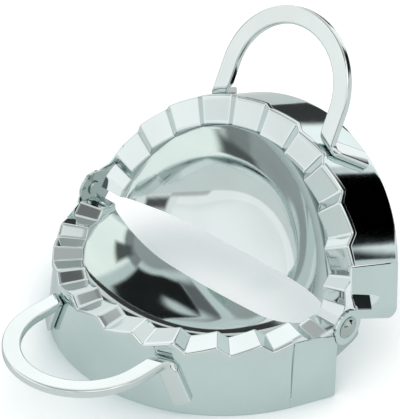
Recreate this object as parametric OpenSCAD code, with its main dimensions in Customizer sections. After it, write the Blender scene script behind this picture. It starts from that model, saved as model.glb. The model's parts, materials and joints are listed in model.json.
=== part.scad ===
// Folding turnover press: two half-round cutters that open flat and close on two rivets.
// Each half is drawn opened flat, with its cutting edge on the table and the hinge
// line along X at y = 0. The same half is used twice: turned half a turn for the
// lower one, and swung up about the hinge line for the upper one.

/* [Cutter] */
// Outside radius of the half-round cutting edge
cutter_r = 60; // [59:0.1:66]
// How far the wall leans in from the cutting edge to the hinge height
rim_inset = 2.7; // [2.2:0.1:3.2]
// Thickness of the cutter wall
wall_t = 0.6; // [0.5:0.05:0.8]
// How far the flat wall ends lean in at the hinge height
end_lean = 1.9; // [1.6:0.1:2.1]
// Length over which that lean runs out towards the ear
ear_ramp = 5; // [4:0.5:7]
// Height of the hinge line above the cutting edge
pivot_h = 25; // [23:0.1:30]
// Distance from the hinge line back to the centre of the half round
arc_back = 2.8; // [2.4:0.1:3.4]
// Distance from the hinge line to the wall end that carries the outer ear
ear_end_gap = 3.2; // [2.6:0.1:4]
// Distance from the hinge line to the plain wall end
plain_end_gap = 5.2; // [4.6:0.1:8]
// Radius of the rounded corner at the cutting edge, on the end with the outer ear
corner_r = 3.2; // [2:0.1:6]
// Distance from the hinge line to the relief slit
slit_y = 20.9; // [20:0.1:23]
// Width of the relief slit
slit_w = 0.5; // [0.3:0.1:1]
// Angle by which the slit slants back towards the hinge on its way up
slit_lean = 3.4; // [0:0.1:4.5]
// Height of the strip left whole below the slit
slit_foot = 4; // [3:0.5:8]

/* [Dish] */
// Thickness of the pressed sheet
dish_t = 0.5; // [0.4:0.05:0.6]
// Gap between the two dishes when the press is closed
closing_gap = 0.8; // [0.6:0.1:1.6]
// Depth of the bowl's floor below the rim
bowl_depth = 13.5; // [11:0.5:16]
// Radius of the bowl's flat floor
floor_r = 20.9; // [17:0.1:23]
// Radius of the cove between the bowl's floor and its wall
cove_r = 37.4; // [34:0.1:42]
// Radius of the wall between bowl and flutes
ring_r = 47.5; // [46:0.1:49]
// Distance from the hinge line to the straight edge
edge_gap = 1.5; // [0.5:0.1:2.5]
// Distance of the flat corners' edge inside the wall's outer face
corner_in = 0.15; // [0.1:0.05:0.6]
// Number of steps around the rim
steps = 11; // [7:2:11]
// Angle from one step to the next
step_pitch = 14.77; // [12:0.01:14.8]
// Angle taken by the steep face of a step
step_width = 4.24; // [3:0.02:6]
// Height of the flutes above and below their middle, at the rim
flute_rise = 1.6; // [1:0.1:2]
// Length of the lip turned down over the wall
lip_drop = 1.5; // [1:0.1:2.2]
// Clearance between the lip and the wall
lip_gap = 0.1; // [0.05:0.01:0.2]

/* [Hinge] */
// Radius of the round ears
ear_r = 6.3; // [5.4:0.1:6.3]
// Distance from the middle of the press to the outside of the outer ears
ear_x = 60.8; // [60.5:0.05:61.2]
// Gap between the inner and the outer ear
ear_gap = 0.1; // [0.08:0.01:0.2]
// Distance from the hinge line to the bend of the ears
ear_flat = 6.7; // [6.7:0.1:7.2]
// Radius of the rivet shank
rivet_r = 1.95; // [1.5:0.05:2.2]
// Radial clearance of the rivet in the ears
rivet_clear = 0.05; // [0.02:0.01:0.09]
// Radius of the rivet head
head_r = 4; // [3:0.1:4.2]
// Height of the domed head
head_h = 1.6; // [1:0.1:2.2]
// Radius of the upset inner end
tail_r = 2.7; // [2.5:0.1:3]
// Height of the upset inner end
tail_h = 0.7; // [0.5:0.1:1]
// Play of the rivet along its axis
rivet_play = 0.1; // [0.06:0.01:0.2]
// Thickness of the hinge plate and of the backing plate
plate_t = 0.6; // [0.5:0.05:0.8]
// Clearance between a welded plate and the wall
plate_gap = 0.1; // [0.05:0.01:0.15]
// Distance from the hinge line to the far edge of the hinge plate
plate_end = 17.5; // [14:0.5:17.5]
// How far the hinge plate reaches below the hinge line
plate_low = 13; // [10:0.5:18]
// Radius of the larger round below the inner ear
knuckle_r = 7.3; // [7:0.1:7.6]
// Distance of its centre beyond the hinge line
knuckle_back = 1.1; // [0.8:0.1:1.6]
// Distance of its centre below the hinge line
knuckle_low = 1; // [0.6:0.1:1.4]
// Distance from the hinge line to the near edge of the backing plate, which closes the window
backing_y = 7.3; // [7.2:0.1:9]
// Distance from the hinge line to the step in its upper edge
backing_step = 11.8; // [11.2:0.1:12]
// Height of the backing plate's lower edge above the cutting edge
backing_low = 5; // [3:0.5:10]

/* [Window] */
// Height of the window's lower side above the cutting edge
window_low = 15; // [13:0.5:18]
// Width of the window
window_w = 4.1; // [3:0.1:4.4]
// Distance from the hinge line to the window
window_y = 6.5; // [6.5:0.1:7.2]
// Width of the strip left above the window
window_strip = 0.7; // [0.6:0.1:1.5]
// How far the upper edge drops towards the ear
ear_dip = 0.8; // [0.2:0.1:1.2]

/* [Handle] */
// Width of the handle bar
bar_w = 6.3; // [4.5:0.1:8]
// Thickness of the handle bar
bar_t = 3; // [2.4:0.1:4]
// Radius of the handle's half round, to the middle of the bar
grip_r = 24.3; // [20:0.1:28]
// Distance from the hinge line to the centre of the handle's half round
grip_y = 62.7; // [59:0.1:72]
// Height of the top face of the handle above the cutting edge
grip_top = 20.9; // [19.6:0.1:22]
// Length of the foot that lies against the wall
foot_len = 17.5; // [12:0.5:18.5]
// Thickness of the foot
foot_t = 2.4; // [1.6:0.1:2.8]
// Rounding of the bar's long edges
bar_round = 0.6; // [0.2:0.1:1]

/* [Pose] */
// Angle by which the upper half is lifted from flat open
open_angle = 63.5; // [0:0.5:175]

/* [Hidden] */
$fn = 96;

// middle height of the flutes, and the rim's level in the flat corners
flute_z = pivot_h - closing_gap / 2;
// top of the flat wall ends, beside the dish
rim_top = flute_z - lip_gap;
// level of the lip's edge in the valleys
lip_low = flute_z - flute_rise - dish_t - lip_drop;
// a height above everything
over = pivot_h + 20;
// outside radius of the wall at height z
function wall_r(z) = cutter_r - rim_inset * z / pivot_h;
// height of the flutes per millimetre of radius
rise_k = flute_rise / wall_r(flute_z);
// angle of the first step
first_step = 90 - (steps - 1) / 2 * step_pitch;
// stations around the rim: [angle, sign of the height]
stations = concat([[-40, 0], [first_step - step_pitch / 2, 0]],
    [for (j = [0:steps - 1]) for (s = [-1, 1]) [first_step + j * step_pitch + s * step_width / 2, -s]],
    [[first_step + (steps - 0.5) * step_pitch, 0], [220, 0]]);
last = len(stations) - 1;
reach = cutter_r + 24;

// wall ends: from the slit a flat sheet runs to the bend, and from there the ear
// stands square to the hinge line
slit_a = asin((slit_y + arc_back) / cutter_r);
slit_x = cutter_r * cos(slit_a);
turn = atan((ear_x - slit_x) / (slit_y - ear_flat));
end_len = (slit_y - ear_flat) / cos(turn);
// plan point of the end sheet, o behind its outer face, d past the bend, at height z
function inset(d, z) = end_lean * z / pivot_h * min(1, max(0, d) / ear_ramp);
function bend_pt(o) = [ear_x - o, ear_flat - o * tan(turn / 2)];
function sheet_pt(o, d, z) = d <= 0 ? bend_pt(o) + [0, d]
    : bend_pt(o) + d * [-sin(turn), cos(turn)] - inset(d, z) * [cos(turn), sin(turn)];
// distance of the slanted slit from the hinge line at height z, on the wall's outer face
function slit_at(z) = wall_r(z) * sin(slit_a) - arc_back - (z - slit_foot) * tan(slit_lean) * cos(slit_a);
// angle at which the lip ends, just past the slit's upper end
lip_a = asin((slit_at(rim_top) + slit_w / 2 + 0.1 + arc_back) / wall_r(rim_top));
// upper edge of the end with the window, at distance y from the hinge line
window_end = window_y + window_w;
function ear_top(y) = rim_top - ear_dip * max(0, window_end - y) / (window_end - ear_r);
// slope of the inner ear's lower edge
knuckle_slope = 14.5;

// handle foot: where the leg meets the wall
foot_r = wall_r(grip_top) + plate_gap;
foot_a = acos(grip_r / foot_r);
// bend of the leg at the wall
bend_r = foot_t + 1;

// extent along Y at rest, used to centre the part
front = grip_y + grip_r + bar_w / 2;
back = max((cutter_r - arc_back) * cos(open_angle) + pivot_h * sin(open_angle),
    front * cos(open_angle) + (pivot_h - grip_top + bar_t) * sin(open_angle));
centre_y = (front - back) / 2;

steel = [0.78, 0.8, 0.81];
bright = [0.86, 0.87, 0.88];
grey = [0.6, 0.62, 0.63];

// everything above the fluted surface lowered by d
module above_flutes(d) {
    n = last + 1;
    z0 = flute_z - d;
    bottom = [for (s = stations) [reach * cos(s[0]), reach * sin(s[0]), z0 + s[1] * rise_k * reach]];
    top = [for (s = stations) [reach * cos(s[0]), reach * sin(s[0]), over + 5]];
    pts = concat([[0, 0, z0]], bottom, [[0, 0, over + 5]], top);
    faces = concat([for (j = [0:last - 1]) [0, j + 1, j + 2]],
        [for (j = [0:last - 1]) [n + 1, n + 3 + j, n + 2 + j]],
        [for (j = [0:last - 1]) [j + 1, n + 2 + j, n + 3 + j, j + 2]],
        [[0, n + 1, n + 2, 1]], [[0, n, 2 * n + 1, n + 1]]);
    translate([0, -arc_back, 0]) polyhedron(pts, faces);
}

// half profile of what lies inside the leaning surface g outside the wall
module lean_profile(g, z0) {
    polygon([[0, z0], [wall_r(z0) + g, z0], [wall_r(over) + g, over], [0, over]]);
}

// half profile of what lies under the bowl's face, o below it, out to the surface
// g outside the wall
module bowl_profile(o, g) {
    z_floor = flute_z - bowl_depth;
    difference() {
        lean_profile(g, z_floor - 8 - o);
        intersection() {
            union() {
                translate([-1, z_floor - o]) square([floor_r + 1, 40 + over]);
                translate([floor_r, z_floor + cove_r]) circle(r = cove_r + o, $fn = 192);
                translate([floor_r, z_floor + cove_r]) square([60, over]);
            }
            translate([-1, z_floor - o - 1]) square([ring_r + o + 1, 60 + over]);
        }
    }
}

// revolved solid about the centre of the half round, a little past both ends
module half_turn() {
    translate([0, -arc_back, 0]) rotate([0, 0, -20]) rotate_extrude(angle = 220) children();
}

// pressed dish: flat corners, flutes, bowl and turned-down lip in one sheet
module dish() {
    difference() {
        half_turn() bowl_profile(0, lip_gap + dish_t);
        above_flutes(0);
        difference() {
            half_turn() bowl_profile(dish_t, lip_gap);
            above_flutes(dish_t);
        }
        difference() {
            half_turn() difference() {
                lean_profile(lip_gap + dish_t + 3, -15);
                lean_profile(lip_gap - 0.01, -16);
            }
            above_flutes(lip_drop + dish_t);
        }
        // flat corners without lip, inside the wall ends
        for (s = [0, 1]) mirror([s, 0, 0]) translate([0, -arc_back, 0]) rotate([0, 0, -25])
            rotate_extrude(angle = 25 + lip_a) difference() {
                lean_profile(lip_gap + dish_t + 3, -15);
                lean_profile(-corner_in, -16);
            }
        translate([-reach, edge_gap - 100, -50]) cube([2 * reach, 100, 150]);
    }
}

// upright sheet of thickness t that follows a wall end, o behind its outer face,
// from d0 along the sheet up to the slit, drawn at the end with positive x
module end_sheet(o, t, d0) {
    nz = 6;
    ds = concat([d0], [for (i = [0:3]) i / 3 * ear_ramp],
        [for (i = [1:3]) ear_ramp + i / 3 * (end_len - ear_ramp)]);
    m = len(ds);
    top = over - 10;
    ring = 2 * m;
    pts = [for (k = [0:nz]) for (i = [0:ring - 1]) let (z = k / nz * top)
        concat(i < m ? sheet_pt(o, ds[i], z) : sheet_pt(o + t, ds[ring - 1 - i], z), [z])];
    sides = [for (k = [0:nz - 1]) for (i = [0:ring - 1]) for (h = [0, 1])
        let (a = k * ring, j = (i + 1) % ring)
        i < m ? (h == 0 ? [a + i, a + ring + i, a + j] : [a + j, a + ring + i, a + ring + j])
        : (h == 0 ? [a + j, a + i, a + ring + j] : [a + i, a + ring + i, a + ring + j])];
    caps = [for (i = [0:m - 2]) for (k = [0, nz])
        let (a = k * ring, q = [a + i, a + i + 1, a + ring - 2 - i, a + ring - 1 - i])
        k == 0 ? q : [q[3], q[2], q[1], q[0]]];
    polyhedron(pts, concat(sides, caps));
}

// side view (y, z) pushed through the end at positive x
module side_cut() {
    translate([cutter_r - 20, 0, 0]) rotate([90, 0, 90]) linear_extrude(height = 40) children();
}

// room for the dish above a welded plate
module dish_room() {
    intersection() {
        above_flutes(dish_t + 0.3);
        translate([-reach, ear_flat + 1.5, 0]) cube([2 * reach, 100, over]);
    }
}

// wall end in side view, without its ear
module end_outline(gap) {
    polygon([[gap, 0], [slit_y + 5, 0], [slit_y + 5, slit_foot],
        [slit_at(slit_foot) - slit_w / 2, slit_foot],
        [slit_at(rim_top) - slit_w / 2, rim_top], [gap, rim_top]]);
}

// plain wall end, cut round around the other half's ear
module plain_outline() {
    difference() {
        end_outline(plain_end_gap);
        translate([0, pivot_h]) circle(r = ear_r + 0.4);
    }
}

// wall end with the round outer ear and its window
module ear_outline() {
    difference() {
        union() {
            end_outline(ear_end_gap);
            translate([0, pivot_h]) circle(r = ear_r);
        }
        // upper edge slanted down towards the ear
        polygon([[window_end, rim_top], [window_end, over], [ear_r, over], [ear_r, ear_top(ear_r)]]);
        // rounded corner at the cutting edge
        difference() {
            translate([ear_end_gap - 1, -1]) square([corner_r + 1, corner_r + 1]);
            translate([ear_end_gap + corner_r, corner_r]) circle(r = corner_r);
        }
        translate([0, pivot_h]) circle(r = rivet_r + rivet_clear);
        polygon([[window_y, window_low], [window_end, window_low],
            [window_end, ear_top(window_end) - window_strip],
            [window_y, ear_top(window_y) - window_strip]]);
    }
}

// separate hinge plate: inner ear, larger round below it and a slanted lower edge
module plate_outline() {
    foot_y = -knuckle_back - knuckle_r * sin(knuckle_slope);
    foot_z = pivot_h - knuckle_low - knuckle_r * cos(knuckle_slope);
    difference() {
        union() {
            translate([0, pivot_h]) circle(r = ear_r);
            intersection() {
                translate([-knuckle_back, pivot_h - knuckle_low]) circle(r = knuckle_r);
                translate([0.4 - ear_flat, 0]) square([10, pivot_h - 0.5]);
            }
            polygon([[foot_y, foot_z], [ear_flat, foot_z - (ear_flat - foot_y) * tan(knuckle_slope)],
                [ear_flat + 3, pivot_h - plate_low], [plate_end, pivot_h - plate_low], [plate_end, rim_top],
                [ear_flat + 1, rim_top], [ear_r * cos(10), pivot_h + ear_r * sin(10)], [0, pivot_h]]);
        }
        translate([0, pivot_h]) circle(r = rivet_r + rivet_clear);
    }
}

// cutter wall of one half: fluted round part, two ends and the outer ear
module cutter_band() {
    difference() {
        translate([0, -arc_back, 0]) rotate([0, 0, slit_a - 3]) rotate_extrude(angle = 186 - 2 * slit_a)
            polygon([[cutter_r - wall_t, 0], [cutter_r, 0],
                [wall_r(over), over], [wall_r(over) - wall_t, over]]);
        above_flutes(dish_t + lip_gap);
        for (s = [0, 1]) mirror([s, 0, 0]) translate([0, -arc_back, slit_foot]) rotate([0, 0, slit_a]) {
            translate([cutter_r - 15, 0, 0]) rotate([slit_lean, 0, 0])
                translate([0, -8, 0]) cube([20, 8 + slit_w / 2, over]);
            translate([cutter_r - 15, -8, -slit_foot - 1]) cube([20, 8, slit_foot + 2]);
        }
    }
    intersection() {
        end_sheet(0, wall_t, -ear_flat - ear_r - 2);
        side_cut() ear_outline();
    }
    mirror([1, 0, 0]) intersection() {
        end_sheet(0, wall_t, -ear_flat - ear_r - 2);
        side_cut() plain_outline();
    }
}

// plate welded inside the plain end, with the inner ear
module hinge_plate() {
    difference() {
        mirror([1, 0, 0]) intersection() {
            end_sheet(wall_t + ear_gap, plate_t, -ear_flat - knuckle_r - 3);
            side_cut() plate_outline();
        }
        dish_room();
    }
}

// plate welded inside the end that carries the outer ear
module backing_plate() {
    high = lip_low - 1;
    intersection() {
        end_sheet(wall_t + plate_gap, plate_t, -1);
        side_cut() polygon([[backing_y, backing_low], [slit_at(backing_low) - 0.9, backing_low],
            [slit_at(high) - 0.9, high], [backing_step + 0.4, high],
            [backing_step, rim_top - 1], [backing_y, rim_top - 1]]);
    }
}

// cross-section of the handle bar, with rounded edges
module bar_section() {
    r = bar_round;
    translate([-bar_w / 2 + r, -bar_t]) square([bar_w - 2 * r, bar_t]);
    translate([-bar_w / 2, -bar_t + r]) square([bar_w, bar_t - 2 * r]);
    for (x = [-1, 1]) for (y = [r, bar_t - r]) translate([x * (bar_w / 2 - r), -y]) circle(r = r, $fn = 32);
}

// slanted strip that the foot of one leg fills, out to the foot's outer face
module foot() {
    intersection() {
        half_turn() lean_profile(plate_gap + foot_t, -5);
        translate([grip_r, foot_r * sin(foot_a) - arc_back, grip_top])
            rotate([0, 0, foot_a - 90]) rotate([0, foot_a - 90, 0])
            translate([-bar_w / 2, -6, -foot_len]) cube([bar_w, 12, foot_len - 0.3]);
    }
}

// handle: flat bar bent to a half round, two legs and two feet, cut to the wall
module handle() {
    difference() {
        union() {
            translate([0, grip_y, grip_top]) rotate_extrude(angle = 180)
                translate([grip_r, 0]) bar_section();
            for (s = [-1, 1]) translate([s * grip_r, grip_y, grip_top]) rotate([90, 0, 0])
                linear_extrude(height = grip_y - cutter_r * 0.7) bar_section();
            for (s = [0, 1]) mirror([s, 0, 0]) foot();
        }
        // the legs and feet stop at the wall
        half_turn() lean_profile(plate_gap, -6);
        // bend from leg to foot
        half_turn() difference() {
            translate([foot_r - 3, grip_top - bend_r]) square([3 + bend_r, bend_r + 5]);
            translate([foot_r + bend_r, grip_top - bend_r]) circle(r = bend_r);
        }
    }
}

// rivet at the end with positive x: domed head outside, upset end inside
module rivet() {
    x_in = ear_x - wall_t - ear_gap - plate_t - rivet_play / 2;
    x_out = ear_x + rivet_play / 2;
    dome_r = (head_r * head_r + head_h * head_h) / (2 * head_h);
    translate([0, 0, pivot_h]) rotate([0, 90, 0]) {
        translate([0, 0, x_in - 0.01]) cylinder(r = rivet_r, h = x_out - x_in + 0.02);
        translate([0, 0, x_in - tail_h]) cylinder(r = tail_r, h = tail_h);
        intersection() {
            translate([0, 0, x_out]) cylinder(r = head_r, h = head_h);
            translate([0, 0, x_out + head_h - dome_r]) sphere(r = dome_r);
        }
    }
}

// places of the two halves
module lower_half() {
    translate([0, centre_y, 0]) rotate([0, 0, 180]) children();
}

module upper_half() {
    translate([0, centre_y, pivot_h]) rotate([open_angle, 0, 0]) translate([0, 0, -pivot_h]) children();
}

module lower_cutter_band() { color(steel) lower_half() cutter_band(); }
module lower_dish() { color(bright) lower_half() dish(); }
module lower_handle() { color(bright) lower_half() handle(); }
module lower_hinge_plate() { color(grey) lower_half() hinge_plate(); }
module lower_backing_plate() { color(grey) lower_half() backing_plate(); }
module upper_cutter_band() { color(steel) upper_half() cutter_band(); }
module upper_dish() { color(bright) upper_half() dish(); }
module upper_handle() { color(bright) upper_half() handle(); }
module upper_hinge_plate() { color(grey) upper_half() hinge_plate(); }
module upper_backing_plate() { color(grey) upper_half() backing_plate(); }
module left_rivet() { color(grey) lower_half() rivet(); }
module right_rivet() { color(grey) translate([0, centre_y, 0]) rivet(); }

lower_cutter_band();
lower_dish();
lower_handle();
lower_hinge_plate();
lower_backing_plate();
upper_cutter_band();
upper_dish();
upper_handle();
upper_hinge_plate();
upper_backing_plate();
left_rivet();
right_rivet();
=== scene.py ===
import bpy, bmesh, json, math
from mathutils import Matrix, Vector
from mathutils.geometry import delaunay_2d_cdt


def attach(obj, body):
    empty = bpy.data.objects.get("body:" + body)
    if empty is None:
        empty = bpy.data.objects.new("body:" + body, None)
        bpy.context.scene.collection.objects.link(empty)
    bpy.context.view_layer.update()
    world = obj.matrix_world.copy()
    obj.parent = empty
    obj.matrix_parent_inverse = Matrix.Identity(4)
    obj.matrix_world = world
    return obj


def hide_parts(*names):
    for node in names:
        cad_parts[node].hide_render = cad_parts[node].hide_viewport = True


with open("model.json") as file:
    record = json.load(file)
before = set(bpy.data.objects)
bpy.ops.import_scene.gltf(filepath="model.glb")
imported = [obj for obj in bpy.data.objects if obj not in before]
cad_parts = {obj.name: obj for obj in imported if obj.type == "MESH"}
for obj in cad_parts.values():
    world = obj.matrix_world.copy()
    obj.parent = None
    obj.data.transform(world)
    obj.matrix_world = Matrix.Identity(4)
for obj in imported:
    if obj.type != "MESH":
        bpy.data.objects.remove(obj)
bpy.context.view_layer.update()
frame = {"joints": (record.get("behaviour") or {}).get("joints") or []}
scene = bpy.context.scene

HINGE_Y, HINGE_Z = frame["joints"][0]["pos_m"][1:]
MM = 0.001


# all angles are in degrees

def sin(a):
    return math.sin(math.radians(a))


def cos(a):
    return math.cos(math.radians(a))


def tan(a):
    return math.tan(math.radians(a))


def asin(v):
    return math.degrees(math.asin(v))


def acos(v):
    return math.degrees(math.acos(v))


# Sizes of one half in mm, lying open: hinge line along X at y = 0, cutting edge at z = 0.
# They are those of part.scad, but the slit is thinner, the bar's edges are rounder, the bowl's
# floor is a shallow cap with a wider cove, and the backing plate begins nearer to the hinge.

# wall: cutting radius, lean in up to the hinge's height, sheet, hinge's height, arc's centre
CUT_R, INSET, WALL_T, PIVOT, BACK = 60.0, 2.7, 0.6, 25.0, 2.8
# rounding of the cutting edge
CUT_ROUND = 0.22
# flat ends: lean, the length over which it runs out, near edges, rounded corner
END_LEAN, EAR_RAMP = 1.9, 5.0
EAR_END, PLAIN_END, CORNER_R = 3.2, 5.2, 3.2
# relief slit: distance from the hinge, width, slant, strip left whole below it
SLIT_Y, SLIT_W, SLIT_LEAN, SLIT_FOOT = 20.9, 0.24, 3.4, 4.0
# dish: sheet, gap when closed, depth, radii of the floor, of the wall above it and of the rim
DISH_T, CLOSING, BOWL, FLOOR_R, RING_R, RIM_R = 0.5, 0.8, 13.5, 20.9, 47.5, 57.3
# bowl's cap, how far it sinks below the CAD's floor, cove and fillets on the face and below
CAP_R, SINK, COVE, FILLET, UNDER_FILLET = 400.0, 0.2, 44.0, 0.6, 0.12
# straight edge, flat corners inside the wall, then the flutes' steps, pitch, steep face and rise
EDGE, CORNER_IN, STEPS, PITCH, WIDTH, RISE = 1.5, 0.15, 11, 14.77, 4.24, 1.6
# lip over the wall, its gap, rounding of its fold, of the flat corners' edge, of raw edges
LIP, LIP_GAP, LIP_ROUND, CORNER_ROUND, RAW_ROUND = 1.5, 0.1, 0.75, 0.24, 0.25
# how far the underside's points keep off the sheet's inner corners
KEEP_OFF = 0.3
# ears: radius, outer face from the middle, gap between the two, bend from the hinge
EAR_R, EAR_X, EAR_GAP, EAR_FLAT = 6.3, 60.8, 0.1, 6.7
# rivets: shank, bore, head, inner end, play along the axis, dome on a flat brim
RIVET_R, BORE_R, HEAD_R, HEAD_H, TAIL_R, TAIL_H, PLAY = 1.95, 2.0, 4.0, 1.6, 2.7, 0.7, 0.1
DOME_R, BRIM = 3.15, 0.35
# plates: sheet, gap to the wall, far edge, drop below the hinge, round below the inner ear
PLATE_T, PLATE_GAP, PLATE_END, PLATE_LOW = 0.6, 0.1, 17.5, 13.0
KNUCKLE_R, KNUCKLE_BACK, KNUCKLE_LOW, KNUCKLE_SLOPE = 7.3, 1.1, 1.0, 14.5
# backing plate: near edge, step in the upper edge, lower edge, distance from the slit
BACKING_Y, BACKING_STEP, BACKING_LOW, BACKING_OFF = 6.5, 11.8, 5.0, 0.9
# window: lower side, width, distance from the hinge, strip above it, dip towards the ear
WIN_LOW, WIN_W, WIN_Y, WIN_STRIP, EAR_DIP = 15.0, 4.1, 6.5, 0.7, 0.8
# handle: bar, half round at the grip, top face, foot, rounding of the long edges
BAR_W, BAR_T, GRIP_R, GRIP_Y, GRIP_TOP = 6.3, 3.0, 24.3, 62.7, 20.9
FOOT_LEN, FOOT_T, BAR_ROUND = 17.5, 2.4, 0.75
# weld dots in the end sheets: (y, z, radius, depth)
EAR_WELDS = [(15.85, 16.0, 1.15, 0.04), (17.6, 6.3, 1.15, 0.04)]
PLAIN_WELDS = [(11.0, 19.0, 1.1, 0.03)]
# angle of the raised half from lying open
ALPHA = 63.5

FLUTE_Z = PIVOT - CLOSING / 2
RIM_TOP = FLUTE_Z - LIP_GAP
LIP_LOW = FLUTE_Z - RISE - DISH_T - LIP


def wall_r(z):
    return CUT_R - INSET * z / PIVOT


RISE_K = RISE / wall_r(FLUTE_Z)
SLIT_A = asin((SLIT_Y + BACK) / CUT_R)
SLIT_X = CUT_R * cos(SLIT_A)
TURN = math.degrees(math.atan((EAR_X - SLIT_X) / (SLIT_Y - EAR_FLAT)))


def slit_at(z):
    return wall_r(z) * sin(SLIT_A) - BACK - (z - SLIT_FOOT) * tan(SLIT_LEAN) * cos(SLIT_A)


# angle where the lip begins, and the flutes' folds as (angle, share of the rise)
LIP_A = asin((slit_at(RIM_TOP) + SLIT_W / 2 + 0.1 + BACK) / wall_r(RIM_TOP))
FIRST = 90 - (STEPS - 1) / 2 * PITCH
STATIONS = [(-40.0, 0.0), (FIRST - PITCH / 2, 0.0)]
for j in range(STEPS):
    STATIONS += [(FIRST + j * PITCH - WIDTH / 2, 1.0), (FIRST + j * PITCH + WIDTH / 2, -1.0)]
STATIONS += [(FIRST + (STEPS - 0.5) * PITCH, 0.0), (220.0, 0.0)]


def sharp_wave(t):
    for (t1, a1), (t2, a2) in zip(STATIONS, STATIONS[1:]):
        if t <= t2:
            return (a1 * sin(t2 - t) + a2 * sin(t - t1)) / sin(t2 - t1)
    return 0.0


def smooth(f, at, step, n):
    """Mean of f around a place, over n steps to each side with falling weight."""
    total = weight = 0.0
    for i in range(-n, n + 1):
        k = 1 - abs(i) / (n + 1)
        total += k * f(at + step(i))
        weight += k
    return total / weight


def wave(t):
    """Height of the fluted sheet at angle t as a share of its rise, with rounded folds."""
    return smooth(sharp_wave, t, lambda i: 0.62 * i / 7, 7)


# mesh helpers

def lower(p):
    return Vector((-p[0] * MM, HINGE_Y - p[1] * MM, p[2] * MM))


def lower_mirrored(p):
    return Vector((p[0] * MM, HINGE_Y + p[1] * MM, p[2] * MM))


def upper(p):
    y, z = p[1], p[2] - PIVOT
    return Vector((p[0] * MM, HINGE_Y + (y * cos(ALPHA) - z * sin(ALPHA)) * MM,
                   HINGE_Z + (y * sin(ALPHA) + z * cos(ALPHA)) * MM))


PLACES = {"lower": lower, "upper": upper}


def add_piece(name, meshes, place, node, body, material, slot, crease=38.0):
    """One object from (vertices in mm, faces) parts of a half, put in its place."""
    bm = bmesh.new()
    for verts, faces in meshes:
        vs = [bm.verts.new(place(v)) for v in verts]
        for f in faces:
            if len(set(f)) > 2:
                bm.faces.new([vs[i] for i in f])
    bmesh.ops.remove_doubles(bm, verts=bm.verts[:], dist=2e-7)
    bmesh.ops.dissolve_degenerate(bm, edges=bm.edges[:], dist=1e-7)
    bmesh.ops.recalc_face_normals(bm, faces=bm.faces[:])
    for f in bm.faces:
        f.smooth = True
    me = bpy.data.meshes.new(name)
    bm.to_mesh(me)
    bm.free()
    me.set_sharp_from_angle(angle=math.radians(crease))
    me.materials.append(material)
    o = bpy.data.objects.new(name, me)
    scene.collection.objects.link(o)
    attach(o, body)
    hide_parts(node)


def loft(rings, closed=True, caps=True):
    """Quads between rings of equal length."""
    n = len(rings[0])
    verts = [p for r in rings for p in r]
    faces = []
    for i in range(len(rings) - 1):
        for k in range(n if closed else n - 1):
            a, b = i * n + k, i * n + (k + 1) % n
            faces.append((a, b, b + n, a + n))
    if caps:
        faces.append(tuple(range(n - 1, -1, -1)))
        faces.append(tuple(range((len(rings) - 1) * n, len(rings) * n)))
    return verts, faces


# dish

def bezier(a, b, c, n):
    out = []
    for i in range(n + 1):
        t = i / n
        out.append(tuple((1 - t) ** 2 * a[k] + 2 * t * (1 - t) * b[k] + t * t * c[k]
                         for k in (0, 1)))
    return out


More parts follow.
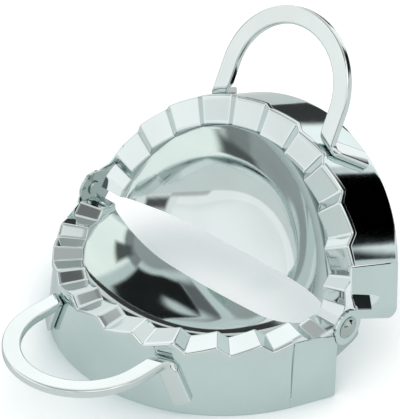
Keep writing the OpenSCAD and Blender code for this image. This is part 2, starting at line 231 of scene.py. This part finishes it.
def dish_loop(t, lip):
    """Section at angle t: face from the middle out, edge or lip, then back underneath."""
    a = wave(t) * RISE_K

    def top(r):
        return FLUTE_Z + a * r

    # the floor is a shallow cap that runs on into the cove
    cap_end = asin(FLOOR_R / CAP_R)
    z_cap = FLUTE_Z - BOWL - SINK + CAP_R
    r_mid = FLOOR_R - COVE * sin(cap_end)
    z_mid = z_cap - CAP_R * cos(cap_end) + COVE * cos(cap_end)

    def side(shift, fillet, n):
        # floor, cove and the short wall below the flutes
        r_wall = RING_R + shift
        cove_end = asin((r_wall - r_mid) / (COVE + shift))
        pts = []
        for r in (0.5, 3.5, 7.0, 10.0, 13.0, 16.0, 18.5):
            pts.append((r, z_cap - math.sqrt((CAP_R + shift) ** 2 - r * r)))
        for i in range(n):
            q = cap_end + (cove_end - 1.2 - cap_end) * i / (n - 1)
            pts.append((r_mid + (COVE + shift) * sin(q), z_mid - (COVE + shift) * cos(q)))
        z_foot = z_mid - (COVE + shift) * cos(cove_end)
        z_head = top(r_wall) - shift
        high = (r_wall, z_foot + 0.45 * (z_head - fillet - z_foot))
        pts += bezier(pts[-1], (r_wall, z_foot), high, 4)[1:]
        for i in range(7):
            q = 15.0 * i
            r = r_wall + fillet * (1 - cos(q))
            pts.append((r, top(r) - shift - fillet + fillet * sin(q)))
        return pts

    pts = side(0.0, FILLET, 26)
    drop = LIP if lip else 0.0
    out = LIP_GAP + DISH_T if lip else -CORNER_IN
    round_r = LIP_ROUND if lip else CORNER_ROUND
    r_top = wall_r(top(RIM_R)) + out
    z_edge = top(r_top)
    inner = RING_R + FILLET
    for i in range(1, 6):
        r = inner + (r_top - round_r - inner) * i / 6
        pts.append((r, top(r)))
    for i in range(7):
        q = 15.0 * i
        r = r_top - round_r + round_r * sin(q)
        pts.append((r, top(r) - round_r + round_r * cos(q)))
    z_low = z_edge - DISH_T - drop
    for i in (1, 2):
        z = (z_edge - round_r) + (z_low + RAW_ROUND - z_edge + round_r) * i / 2
        pts.append((wall_r(z) + out if lip else r_top, z))
    r_low = (wall_r(z_low) + out if lip else r_top) - RAW_ROUND
    turn = 180.0 if lip else 90.0
    for i in range(1, 6):
        q = turn * i / 5
        pts.append((r_low + RAW_ROUND * cos(q), z_low + RAW_ROUND - RAW_ROUND * sin(q)))
    if lip:
        for i in (1, 2):
            z = z_low + RAW_ROUND + (z_edge - DISH_T - KEEP_OFF - z_low - RAW_ROUND) * i / 2
            pts.append((wall_r(z) + LIP_GAP, z))
        r_in = wall_r(z_edge) + LIP_GAP - KEEP_OFF
    else:
        pts += [(r_top - d, top(r_top - d) - DISH_T) for d in (0.35, 0.5)]
        r_in = r_top - 0.7
    for i in range(4):
        r = r_in + (RING_R + DISH_T + KEEP_OFF - r_in) * i / 3
        pts.append((r, top(r) - DISH_T))
    return pts + side(DISH_T, UNDER_FILLET, 14)[::-1]


def dish_mesh():
    # sections at even steps, closer ones at the folds and a pair where the lip begins and ends
    angles = {LIP_A - 0.01, LIP_A + 0.01, 180 - LIP_A - 0.01, 180 - LIP_A + 0.01}
    angles |= {round(-6 + 1.25 * i, 3) for i in range(154)}
    angles |= {round(fold + i * 0.24, 3) for fold, _ in STATIONS[1:-1] for i in range(-7, 8)}
    angles = sorted(angles)
    kept = [angles[0]]
    for t in angles[1:]:
        if t - kept[-1] > 0.1 or abs(abs(t - 90) - abs(90 - LIP_A)) < 0.02:
            kept.append(t)
    rings = []
    for t in kept:
        lip = LIP_A < t < 180 - LIP_A
        rings.append([(r * cos(t), r * sin(t) - BACK, z) for r, z in dish_loop(t, lip)])
    verts, faces = loft(rings, closed=False, caps=False)
    # cut along the straight edge and closed there
    bm = bmesh.new()
    vs = [bm.verts.new(v) for v in verts]
    for f in faces:
        bm.faces.new([vs[i] for i in f])
    bmesh.ops.bisect_plane(bm, geom=bm.verts[:] + bm.edges[:] + bm.faces[:], dist=1e-5,
                           plane_co=(0, EDGE, 0), plane_no=(0, 1, 0), clear_inner=True)
    rim = [e for e in bm.edges
           if e.is_boundary and all(abs(v.co.y - EDGE) < 1e-3 for v in e.verts)]
    made = bmesh.ops.holes_fill(bm, edges=rim, sides=0)["faces"]
    bmesh.ops.triangulate(bm, faces=made)
    bm.verts.index_update()
    out = [tuple(v.co) for v in bm.verts], [tuple(v.index for v in f.verts) for f in bm.faces]
    bm.free()
    return out


# cutter wall

def round_wall():
    # down the outside, round the cutting edge and up the inside; None stands for the fluted top
    zs = [0.35, 1.5, SLIT_FOOT, SLIT_FOOT + 0.001, 8.0, 12.0, 16.0, 20.0, None]
    profile = [(0.0, z) for z in zs[::-1]]
    for q in (30, 60, 90):
        profile.append((-CUT_ROUND + CUT_ROUND * cos(q), CUT_ROUND - CUT_ROUND * sin(q)))
    for q in (90, 120, 150):
        profile.append((-WALL_T + CUT_ROUND + CUT_ROUND * cos(q), CUT_ROUND - CUT_ROUND * sin(q)))
    profile += [(-WALL_T, z) for z in zs]
    n = 300
    rings = []
    for i in range(n + 1):
        ring = []
        u = i / n
        for g, z in profile:
            if z is None:
                t = LIP_A + (180 - 2 * LIP_A) * u
                z = FLUTE_Z + wave(t) * RISE_K * wall_r(FLUTE_Z) - DISH_T - LIP_GAP
            if z <= SLIT_FOOT:
                t0 = SLIT_A
            else:
                t0 = asin((slit_at(z) + SLIT_W / 2 + BACK) / wall_r(z))
            t = t0 + (180 - 2 * t0) * u
            r = wall_r(z) + g
            ring.append((r * cos(t), r * sin(t) - BACK, z))
        rings.append(ring)
    return loft(rings)


def sheet_x_sharp(o, y, z):
    bend = EAR_FLAT - o * tan(TURN / 2)
    if y <= bend:
        return EAR_X - o
    k = y - bend
    lean = END_LEAN * z / PIVOT
    d = k / (cos(TURN) - lean * sin(TURN) / EAR_RAMP)
    if d > EAR_RAMP:
        d = (k + lean * sin(TURN)) / cos(TURN)
    return EAR_X - o - d * sin(TURN) - lean * min(1.0, d / EAR_RAMP) * cos(TURN)


def sheet_x(o, y, z):
    """Place of the end sheet's surface, o behind its outer face, with a rounded bend."""
    return smooth(lambda at: sheet_x_sharp(o, at, z), y, lambda i: 0.12 * i, 6)


def inside(p, poly):
    hit = False
    n = len(poly)
    for i in range(n):
        (x1, y1), (x2, y2) = poly[i], poly[(i + 1) % n]
        if (y1 > p[1]) != (y2 > p[1]) and p[0] < (x2 - x1) * (p[1] - y1) / (y2 - y1) + x1:
            hit = not hit
    return hit


def border_gap(p, poly):
    best = 1e9
    n = len(poly)
    for i in range(n):
        a, b = poly[i], poly[(i + 1) % n]
        dx, dy = b[0] - a[0], b[1] - a[1]
        l2 = dx * dx + dy * dy
        t = 0
        if l2 != 0:
            t = max(0.0, min(1.0, ((p[0] - a[0]) * dx + (p[1] - a[1]) * dy) / l2))
        best = min(best, math.hypot(p[0] - a[0] - t * dx, p[1] - a[1] - t * dy))
    return best


def dense(poly, step):
    out = []
    n = len(poly)
    for i in range(n):
        a, b = poly[i], poly[(i + 1) % n]
        m = max(1, int(math.hypot(b[0] - a[0], b[1] - a[1]) / step))
        for k in range(m):
            out.append((a[0] + (b[0] - a[0]) * k / m, a[1] + (b[1] - a[1]) * k / m))
    return out


def arc(cy, cz, r, a0, a1, n):
    turns = [a0 + (a1 - a0) * i / n for i in range(n + 1)]
    return [(cy + r * cos(q), cz + r * sin(q)) for q in turns]


def bore():
    return arc(0, PIVOT, BORE_R, 0, 345, 23)


def sheet(outline, holes, o, t, mirror, welds=(), step=1.1):
    """Sheet cut to a side-view outline (y, z), laid on the wall end o behind its outer face."""
    outline = dense(outline, step)
    holes = [dense(h, step) for h in holes]

    def in_sheet(p):
        return inside(p, outline) and not any(inside(p, h) for h in holes)

    def dent(py, pz):
        s = 0.0
        for cy, cz, r, depth in welds:
            d = math.hypot(py - cy, pz - cz) / r
            if d < 1:
                s += depth * (1 - d * d) ** 2
            elif d < 1.2:
                s -= depth * 0.25 * math.sin(math.pi * (d - 1) / 0.2)
        return s

    pts = list(outline)
    edges = [(i, (i + 1) % len(outline)) for i in range(len(outline))]
    for h in holes:
        base = len(pts)
        pts += h
        edges += [(base + i, base + (i + 1) % len(h)) for i in range(len(h))]
    # points inside the outline: rings around the welds, elsewhere a grid clear of all edges
    for cy, cz, r, _ in welds:
        pts += [(cy, cz)]
        for k in range(1, 7):
            pts += arc(cy, cz, r * k / 5, 0, 360 - 22.5, 15)
    ys = [p[0] for p in outline]
    zs = [p[1] for p in outline]
    y = min(ys) + 0.4
    while y < max(ys):
        z = min(zs) + 0.4
        while z < max(zs):
            p = (y, z)
            if all(math.hypot(y - w[0], z - w[1]) > w[2] * 1.35 for w in welds):
                if in_sheet(p) and min(border_gap(p, q) for q in [outline] + holes) > 0.35:
                    pts.append(p)
            z += step
        y += step
    flat, _, cells = delaunay_2d_cdt([Vector(p) for p in pts], edges, [], 0, 1e-5)[:3]
    tris = []
    for f in cells:
        if in_sheet((sum(flat[i][0] for i in f) / 3, sum(flat[i][1] for i in f) / 3)):
            tris.append(tuple(f))

    m = -1 if mirror else 1
    verts = [(m * (sheet_x(o, p[0], p[1]) - dent(p[0], p[1])), p[0], p[1]) for p in flat]
    n = len(verts)
    verts += [(m * sheet_x(o + t, p[0], p[1]), p[0], p[1]) for p in flat]
    faces = tris + [tuple(i + n for i in f[::-1]) for f in tris]
    # the cut edges join the two faces where only one triangle has the side
    sides = [(f[i], f[(i + 1) % 3]) for f in tris for i in range(3)]
    count = {}
    for a, b in sides:
        key = (min(a, b), max(a, b))
        count[key] = count.get(key, 0) + 1
    faces += [(b, a, a + n, b + n) for a, b in sides if count[min(a, b), max(a, b)] == 1]
    return verts, faces


def ear_top(y):
    end = WIN_Y + WIN_W
    return RIM_TOP - EAR_DIP * max(0.0, end - y) / (end - EAR_R)


def slit_edge():
    return [(SLIT_Y + 0.25, 0.0), (SLIT_Y + 0.15, SLIT_FOOT),
            (slit_at(SLIT_FOOT) - SLIT_W / 2, SLIT_FOOT), (slit_at(RIM_TOP) - SLIT_W / 2, RIM_TOP)]


def ear_panel():
    end = WIN_Y + WIN_W
    a_in = -asin((PIVOT - ear_top(EAR_R)) / EAR_R)
    a_out = -acos(EAR_END / EAR_R)
    pts = arc(EAR_END + CORNER_R, CORNER_R, CORNER_R, 180, 270, 10)
    pts += slit_edge()
    pts += [(end, RIM_TOP)]
    pts += arc(0, PIVOT, EAR_R, a_in, 360 + a_out, 60)
    window = [(WIN_Y, WIN_LOW), (end, WIN_LOW),
              (end, ear_top(end) - WIN_STRIP), (WIN_Y, ear_top(WIN_Y) - WIN_STRIP)]
    return sheet(pts, [window, bore()], 0.0, WALL_T, False, welds=EAR_WELDS, step=0.8)


def plain_panel():
    r = EAR_R + 0.4
    a_in = -asin((PIVOT - RIM_TOP) / r)
    a_out = -acos(PLAIN_END / r)
    pts = [(PLAIN_END, 0.0)] + slit_edge()
    pts += arc(0, PIVOT, r, a_in, a_out, 14)
    return sheet(pts, [], 0.0, WALL_T, True, welds=PLAIN_WELDS)


def hinge_plate():
    # the round below the ear ends at (fy, fz), from where the lower edge slopes down
    fy = -KNUCKLE_BACK - KNUCKLE_R * sin(KNUCKLE_SLOPE)
    fz = PIVOT - KNUCKLE_LOW - KNUCKLE_R * cos(KNUCKLE_SLOPE)
    ky, kz = -KNUCKLE_BACK, PIVOT - KNUCKLE_LOW
    left = 0.4 - EAR_FLAT
    a_low = 270 - KNUCKLE_SLOPE
    a_left = 180 + acos((ky - left) / KNUCKLE_R)
    low, roof = PIVOT - PLATE_LOW, RIM_TOP - 1.2
    pts = arc(ky, kz, KNUCKLE_R, a_left, a_low, 14)
    pts += [(EAR_FLAT, fz - (EAR_FLAT - fy) * tan(KNUCKLE_SLOPE)), (EAR_FLAT + 3, low),
            (PLATE_END, low), (PLATE_END, 21.3), (EAR_FLAT + 3, 23.2), (EAR_FLAT + 1.6, roof + 0.6)]
    pts += arc(0, PIVOT, EAR_R, 10, 176, 40)
    pts += [(left, PIVOT - 0.6)]
    return sheet(pts, [bore()], WALL_T + EAR_GAP, PLATE_T, True)


# the plate reaches behind the window, where its near-black colour is painted shade
def backing_plate():
    high = LIP_LOW - 1
    pts = [(BACKING_Y, BACKING_LOW), (slit_at(BACKING_LOW) - BACKING_OFF, BACKING_LOW),
           (slit_at(high) - BACKING_OFF, high), (BACKING_STEP + 0.4, high),
           (BACKING_STEP, RIM_TOP - 1), (BACKING_Y, RIM_TOP - 1)]
    return sheet(pts, [], WALL_T + PLATE_GAP, PLATE_T, False)


# handle

FOOT_R = wall_r(GRIP_TOP) + PLATE_GAP
FOOT_A = acos(GRIP_R / FOOT_R)
BEND_R = FOOT_T + 1
BEND_LEN = BEND_R * math.pi / 2


def bar_loop():
    """Section of the flat bar with rounded corners, as (across, depth)."""
    r = BAR_ROUND
    w = BAR_W / 2
    corners = ((w - r, r, -90), (w - r, BAR_T - r, 0), (-w + r, BAR_T - r, 90), (-w + r, r, 180))
    pts = []
    for cx, cd, a0 in corners:
        for i in range(6):
            q = a0 + 90 * i / 5
            pts.append((cx + r * cos(q), cd + r * sin(q)))
    return pts


def bar_point(s, depth, w):
    """Point of the bent bar: s across, depth under the leading face, w along from the bend."""
    sa, ca = sin(FOOT_A), cos(FOOT_A)
    u = (s - BEND_R * ca) / sa
    rho, z, n_rho, n_z, share = FOOT_R + BEND_R - w, GRIP_TOP, 0.0, -1.0, 0.0
    thick = 1.0
    if w <= 0:
        u += w * ca / sa
    else:
        turn = min(1.0, w / BEND_LEN)
        q = 90 * turn
        share = turn * turn * (3 - 2 * turn)
        rho = FOOT_R + BEND_R - BEND_R * sin(q)
        z = GRIP_TOP - BEND_R + BEND_R * cos(q)
        n_rho, n_z = sin(q), -cos(q)
        u += 2 * BEND_R * turn * ca / sa
        thick = 1 - (1 - FOOT_T / BAR_T) * share
        if w > BEND_LEN:
            z -= w - BEND_LEN
            u += (w - BEND_LEN) * ca / sa
    curve = math.sqrt((wall_r(z) + PLATE_GAP) ** 2 - u * u) - FOOT_R
    rho += curve * share + n_rho * depth * thick
    z += n_z * depth * thick
    return (rho * ca + u * sa, rho * sa - u * ca - BACK, z)


def handle():
    loop = bar_loop()
    sa, ca = sin(FOOT_A), cos(FOOT_A)

    def w_end(s):
        return BEND_LEN + (GRIP_TOP - BEND_R) - (GRIP_TOP + s * ca - FOOT_LEN * sa)

    def w_grip(s):
        y0 = (FOOT_R + BEND_R) * sa - (s - BEND_R * ca) / sa * ca - BACK
        return -(GRIP_Y - y0) * sa

    # one side from the foot's end over the bend to the grip, then the grip and the other side
    side = []
    for i in range(14):
        side.append([bar_point(s, d, w_end(s) + (BEND_LEN - w_end(s)) * i / 14) for s, d in loop])
    for i in range(15):
        side.append([bar_point(s, d, BEND_LEN * (1 - i / 15)) for s, d in loop])
    for i in range(8):
        side.append([bar_point(s, d, w_grip(s) * i / 8) for s, d in loop])
    rings = list(side)
    n = 96
    for i in range(n + 1):
        q = 180 * i / n
        rings.append([((GRIP_R + s) * cos(q), GRIP_Y + (GRIP_R + s) * sin(q), GRIP_TOP - d)
                      for s, d in loop])
    rings += [[(-x, y, z) for x, y, z in ring] for ring in side[::-1]]
    return loft(rings)


# rivet at the end with positive x

def rivet():
    """Domed head on a flat brim, shank and flat tail, turned about the hinge line."""
    x_in = EAR_X - WALL_T - EAR_GAP - PLATE_T - PLAY / 2
    x_out = EAR_X + PLAY / 2
    rise = HEAD_H - BRIM
    dome = (DOME_R ** 2 + rise ** 2) / (2 * rise)
    a_max = asin(DOME_R / dome)
    pts = [(0.02, x_out + HEAD_H)]
    for i in range(1, 19):
        q = a_max * i / 18
        pts.append((dome * sin(q), x_out + HEAD_H - dome + dome * cos(q)))
    pts += [(DOME_R + 0.12, x_out + BRIM - 0.05), (DOME_R + 0.3, x_out + BRIM - 0.08),
            (HEAD_R - 0.25, x_out + BRIM - 0.12), (HEAD_R - 0.08, x_out + 0.17),
            (HEAD_R, x_out + 0.1), (HEAD_R - 0.03, x_out + 0.04), (HEAD_R - 0.12, x_out),
            (RIVET_R, x_out), (RIVET_R, x_in), (TAIL_R - 0.15, x_in), (TAIL_R, x_in - 0.15),
            (TAIL_R, x_in - TAIL_H + 0.2), (TAIL_R - 0.2, x_in - TAIL_H), (0.02, x_in - TAIL_H)]
    n = 56
    turns = [360 * i / n for i in range(n)]
    return loft([[(x, r * cos(q), PIVOT + r * sin(q)) for q in turns] for r, x in pts])


# materials

def new_material(name):
    m = bpy.data.materials.new(name)
    m.use_nodes = True
    m.node_tree.nodes.clear()
    return m


def add_node(m, kind, values={}):
    """Node of a material or the world, with constants on its sockets."""
    n = m.node_tree.nodes.new(kind)
    for socket, value in values.items():
        n.inputs[socket].default_value = value
    return n


def add_ramp(m, low, low_color, high, high_color):
    n = add_node(m, "ShaderNodeValToRGB")
    for stop, at, color in zip(n.color_ramp.elements, (low, high), (low_color, high_color)):
        stop.position = at
        stop.color = (*color, 1)
    return n


def link(m, a, b):
    m.node_tree.links.new(a, b)


# depth of the stains in the colour, and stretch of the polishing lines
STAIN = 0.04
GRAIN = (1.0, 0.15, 1.0)


def steel(name, color, rough, wave_h=0.0, scratch=0.02, edge=0.5):
    """Polished sheet: waviness, fine polishing lines, faint stains, and painted shade that darkens
    the edges turned away from the view.
    """
    m = new_material(name)
    out = add_node(m, "ShaderNodeOutputMaterial")
    skin = add_node(m, "ShaderNodeBsdfPrincipled", {"Metallic": 1.0})
    link(m, skin.outputs[0], out.inputs[0])
    coord = add_node(m, "ShaderNodeTexCoord")
    # slow colour drift of the polished sheet
    stain = add_node(m, "ShaderNodeTexNoise", {"Scale": 45.0, "Detail": 3.0})
    link(m, coord.outputs["Object"], stain.inputs["Vector"])
    dull, clean = [c * (1 - STAIN) for c in color], [c * (1 + STAIN * 0.5) for c in color]
    ramp = add_ramp(m, 0.35, dull, 0.65, clean)
    link(m, stain.outputs["Fac"], ramp.inputs[0])
    # painted shade: the colour darkens where the surface turns away from the view
    turned = add_node(m, "ShaderNodeLayerWeight", {"Blend": 0.5})
    rim = add_node(m, "ShaderNodeMapRange",
                   {"From Min": 0.62, "From Max": 0.97, "To Min": 1.0, "To Max": 1.0 - edge})
    rim.interpolation_type = "SMOOTHSTEP"
    link(m, turned.outputs["Facing"], rim.inputs["Value"])
    shaded = add_node(m, "ShaderNodeVectorMath")
    shaded.operation = "SCALE"
    link(m, ramp.outputs[0], shaded.inputs[0])
    link(m, rim.outputs[0], shaded.inputs["Scale"])
    link(m, shaded.outputs[0], skin.inputs["Base Color"])
    # fine polishing marks in the roughness
    fine = add_node(m, "ShaderNodeTexNoise", {"Scale": 900.0, "Detail": 4.0})
    stretch = add_node(m, "ShaderNodeMapping", {"Scale": GRAIN})
    link(m, coord.outputs["Object"], stretch.inputs["Vector"])
    link(m, stretch.outputs[0], fine.inputs["Vector"])
    marks = add_node(m, "ShaderNodeMapRange",
                     {"From Min": 0.3, "From Max": 0.7, "To Min": rough, "To Max": rough + scratch})
    link(m, fine.outputs["Fac"], marks.inputs["Value"])
    link(m, marks.outputs[0], skin.inputs["Roughness"])
    if wave_h:
        waves = add_node(m, "ShaderNodeTexNoise", {"Scale": 60.0, "Detail": 1.0})
        link(m, coord.outputs["Object"], waves.inputs["Vector"])
        bump = add_node(m, "ShaderNodeBump", {"Strength": wave_h, "Distance": 0.0004})
        link(m, waves.outputs["Fac"], bump.inputs["Height"])
        link(m, bump.outputs[0], skin.inputs["Normal"])
    return m


# edge sets how deep the painted shade on the turned-away edges is
BAND = steel("band_steel", (0.63, 0.73, 0.72), 0.05, wave_h=0.1)
DISH = steel("dish_steel", (0.66, 0.73, 0.72), 0.04, wave_h=0.04)
BAR = steel("bar_steel", (0.69, 0.745, 0.735), 0.08, wave_h=0.03, edge=0.75)
# painted shade: the hinge plates and the rivets are the wall's steel given a darker colour
PLATE = steel("plate_steel", (0.46, 0.53, 0.52), 0.09)
RIVET = steel("rivet_steel", (0.46, 0.53, 0.51), 0.06, edge=0.7)
# painted shade: the backing plate is near black and stands for the dark shade seen through the
# window in the ear
BACKING_SHADE = steel("backing_steel", (0.02, 0.024, 0.024), 0.45, scratch=0.1)

dish = dish_mesh()
wall = [round_wall(), ear_panel(), plain_panel()]
bar = handle()
plate = hinge_plate()
backing = backing_plate()
# piece, its meshes, the CAD node it replaces, material, material slot, crease angle
PIECES = [
    ("_dish_sheet", [dish], "_dish", DISH, "dish_steel", 38.0),
    ("_cutter_wall", wall, "_cutter_band", BAND, "cutter_steel", 38.0),
    ("_bar_handle", [bar], "_handle", BAR, "handle_steel", 50.0),
    ("_ear_plate", [plate], "_hinge_plate", PLATE, "plate_steel", 38.0),
    ("_weld_plate", [backing], "_backing_plate", BACKING_SHADE, "backing_steel", 38.0),
]
for half, place in PLACES.items():
    for name, meshes, node, material, slot, crease in PIECES:
        add_piece(half + name, meshes, place, half + node, half + "_half", material, slot, crease)
pin = rivet()
add_piece("left_pin", [pin], lower, "left_rivet", "lower_half", RIVET, "rivet_steel")
add_piece("right_pin", [pin], lower_mirrored, "right_rivet", "lower_half", RIVET, "rivet_steel")


# studio: patches of a large sphere around the press, given by azimuth from +X and elevation

def card(name, az0, az1, el0, el1, strength, soft=2.0, color=(1, 1, 1), radius=1.6):
    """Glowing reflector that fades out over its outer degrees. Not seen by the camera."""
    me = bpy.data.meshes.new(name)
    n, k = 48, 32
    verts, fade = [], []
    for i in range(n + 1):
        for j in range(k + 1):
            a, e = az0 + (az1 - az0) * i / n, el0 + (el1 - el0) * j / k
            verts.append((radius * cos(e) * cos(a), radius * cos(e) * sin(a),
                          0.03 + radius * sin(e)))
            da = min(a - az0, az1 - a) * max(0.2, cos(e))
            d = min(1.0, max(0.0, min(da, e - el0, el1 - e) / soft))
            fade.append(d * d * (3 - 2 * d))
    faces = []
    for i in range(n):
        for j in range(k):
            q = i * (k + 1) + j
            faces.append((q, q + 1, q + k + 2, q + k + 1))
    me.from_pydata(verts, [], faces)
    me.attributes.new("fade", "FLOAT", "POINT").data.foreach_set("value", fade)
    o = bpy.data.objects.new(name, me)
    scene.collection.objects.link(o)
    m = new_material(name)
    out = add_node(m, "ShaderNodeOutputMaterial")
    lit = add_node(m, "ShaderNodeEmission", {"Color": (*color, 1), "Strength": strength})
    clear = add_node(m, "ShaderNodeBsdfTransparent")
    share = add_node(m, "ShaderNodeAttribute")
    share.attribute_name = "fade"
    both = add_node(m, "ShaderNodeMixShader")
    link(m, share.outputs["Fac"], both.inputs[0])
    link(m, clear.outputs[0], both.inputs[1])
    link(m, lit.outputs[0], both.inputs[2])
    link(m, both.outputs[0], out.inputs[0])
    me.materials.append(m)
    o.visible_camera = False
    o.visible_shadow = False
    # cards darker than the world are only there for the reflections
    if strength < 1:
        o.visible_diffuse = False


# azimuths in the list are measured from the camera's side of the press
CAMERA_SIDE = -46.0
WHITE, CREAM = (1.0, 1.0, 1.0), (1.0, 0.95, 0.92)
# name, azimuth from and to, elevation from and to, strength, degrees over which it fades
CARDS = [
    ("overhead", -200, 64, 66, 86, 0.55, 4.0),
    ("overhead_edge", -12, 56, 61, 70, 0.4, 2.0),
    ("back_top", 163, 236, 47, 70, 0.55, 4.0),
    ("flag_side", -106, -68, 51, 66, 0.22, 4.0),
    ("flag_high", -75, -8, 49, 65, 0.02, 3.0),
    ("softbox", -2, 60, 34, 63, 1.65, 4.0),
    ("panel_back", 150, 224, 20, 49, 1.3, 4.0),
    ("flag_right_top", 66, 104, 34, 62, 0.35, 5.0),
    ("flag_right", 82, 98, -10, 28, 0.02, 3.0),
    ("flag_right_mid", 92, 112, 3, 28, 0.01, 1.2),
    ("grey_right", 116, 140, 18, 31, 0.4, 3.0),
    ("panel_right", 131, 158, 4, 31, 1.2, 2.0),
    ("flag_right_high", 98, 120, 12, 31, 0.02, 3.0),
    ("flag_right_low", 100, 129, 5, 23, 0.0, 1.5),
    ("flag_right_foot", 111, 134, -4, 9, 0.02, 2.0),
    ("flag_back", 151, 186, -4, 13, 0.05, 2.5),
    ("low_front", -14, 54, 0, 13, 0.2, 3.0),
    ("panel_left_high", -120, -50, 25, 46, 1.2, 4.0),
    ("panel_left", -106, -44, 4, 28, 1.12, 3.0),
    ("grey_left", -150, -100, 3, 19, 0.3, 5.0),
    ("table_left", -106, -46, -3, 4.4, 1.1, 0.6),
    ("edge_line", -66, -40, -3, 1.5, 0.6, 1.5),
    ("flag_low", -42, -20, -1, 9, 0.1, 4.0),
]
# each card lies a little inside the one before it, so that it covers it where they overlap
for i, (name, az0, az1, el0, el1, strength, soft) in enumerate(CARDS):
    tone = CREAM if name == "softbox" else WHITE
    card(name, az0 + CAMERA_SIDE, az1 + CAMERA_SIDE, el0, el1, strength, soft, tone,
         1.6 - 0.01 * i)
card("near_flag", 4 + CAMERA_SIDE, 44 + CAMERA_SIDE, 61, 77, 0.15, 4.0, radius=0.25)

floor = bpy.data.meshes.new("floor")
floor.from_pydata([(-3, -3, 0), (3, -3, 0), (3, 3, 0), (-3, 3, 0)], [], [(0, 1, 2, 3)])
floor_o = bpy.data.objects.new("floor", floor)
scene.collection.objects.link(floor_o)
floor_o.location = (0, 0, -0.0002)
fm = new_material("floor")


def lit_floor(color, glow_color):
    """Diffuse floor with a glow of its own: the diffuse node and the sum."""
    soft = add_node(fm, "ShaderNodeBsdfDiffuse", {"Color": (*color, 1)})
    glow = add_node(fm, "ShaderNodeEmission", {"Color": (*glow_color, 1), "Strength": 1.0})
    both = add_node(fm, "ShaderNodeAddShader")
    link(fm, soft.outputs[0], both.inputs[0])
    link(fm, glow.outputs[0], both.inputs[1])
    return soft, both


# what the camera sees: white, with painted shade around and under the press, where ambient
# occlusion darkens the floor's colour
shown, shown_sum = lit_floor((1.0, 1.0, 1.0), (0.10, 0.11, 0.11))
cover = add_node(fm, "ShaderNodeAmbientOcclusion", {"Distance": 0.07})
cover.samples = 16
shade = add_ramp(fm, 0.2, (0.40, 0.54, 0.58), 0.76, (1.0, 1.0, 1.0))
link(fm, cover.outputs["AO"], shade.inputs[0])
link(fm, shade.outputs[0], shown.inputs["Color"])
# what the steel mirrors is greyer, a painted shade on the floor, and all other rays meet a plain
# floor
mirrored_sum = lit_floor((0.45, 0.42, 0.41), (0.30, 0.37, 0.37))[1]
plain = add_node(fm, "ShaderNodeBsdfDiffuse", {"Color": (0.85, 0.86, 0.86, 1)})
path = add_node(fm, "ShaderNodeLightPath")
which = add_node(fm, "ShaderNodeMixShader")
link(fm, path.outputs["Is Camera Ray"], which.inputs[0])
link(fm, mirrored_sum.outputs[0], which.inputs[1])
link(fm, shown_sum.outputs[0], which.inputs[2])
seen = add_node(fm, "ShaderNodeMath")
seen.operation = "MAXIMUM"
link(fm, path.outputs["Is Camera Ray"], seen.inputs[0])
link(fm, path.outputs["Is Glossy Ray"], seen.inputs[1])
mix = add_node(fm, "ShaderNodeMixShader")
link(fm, seen.outputs[0], mix.inputs[0])
link(fm, plain.outputs[0], mix.inputs[1])
link(fm, which.outputs[0], mix.inputs[2])
out = add_node(fm, "ShaderNodeOutputMaterial")
link(fm, mix.outputs[0], out.inputs[0])
floor.materials.append(fm)

# world: pure white for the camera, a trace of blue green for everything else
world = bpy.data.worlds.new("studio")
scene.world = world
world.use_nodes = True
world.node_tree.nodes.clear()
world_out = add_node(world, "ShaderNodeOutputWorld")
world_path = add_node(world, "ShaderNodeLightPath")
around = add_node(world, "ShaderNodeBackground", {"Color": (0.98, 1.0, 1.0, 1), "Strength": 1.0})
behind = add_node(world, "ShaderNodeBackground", {"Color": (1, 1, 1, 1), "Strength": 1.0})
world_mix = add_node(world, "ShaderNodeMixShader")
link(world, world_path.outputs["Is Camera Ray"], world_mix.inputs[0])
link(world, around.outputs[0], world_mix.inputs[1])
link(world, behind.outputs[0], world_mix.inputs[2])
link(world, world_mix.outputs[0], world_out.inputs[0])

# camera at the photograph's viewing angle: azimuth, elevation and roll, then the distance and
# offsets in the fit's unit, the focal length and the middle of the lens in pixels
AZ, EL, ROLL = 43.5347, 33.7094, 0.6645
DIST, TX, TY, FOCAL, PX, PY = 15.63545, -0.11402, 0.37308, 2709.18, 194.968, 213.522
UNIT, PHOTO_W, PHOTO_H, SENSOR = 0.06, 400.0, 419.0, 36.0
back = Vector((sin(AZ) * cos(EL), -cos(AZ) * cos(EL), sin(EL)))
level = Vector((cos(AZ), sin(AZ), 0))
steep = back.cross(level)
right = cos(ROLL) * level + sin(ROLL) * steep
up = -sin(ROLL) * level + cos(ROLL) * steep
pos = Vector((0, HINGE_Y, 0.25 * UNIT)) + (right * TX + up * TY + back * DIST) * UNIT
cam_data = bpy.data.cameras.new("camera")
cam = bpy.data.objects.new("camera", cam_data)
scene.collection.objects.link(cam)
cam.matrix_world = Matrix.Translation(pos) @ Matrix((right, up, back)).transposed().to_4x4()
cam_data.sensor_fit = "HORIZONTAL"
cam_data.sensor_width = SENSOR
cam_data.lens = SENSOR * FOCAL / PHOTO_W
cam_data.shift_x = (PHOTO_W / 2 - PX) / PHOTO_W
cam_data.shift_y = (PY - PHOTO_H / 2) / PHOTO_W
cam_data.clip_start = 0.01
cam_data.clip_end = 20
scene.camera = cam

scene.view_settings.view_transform = "Standard"
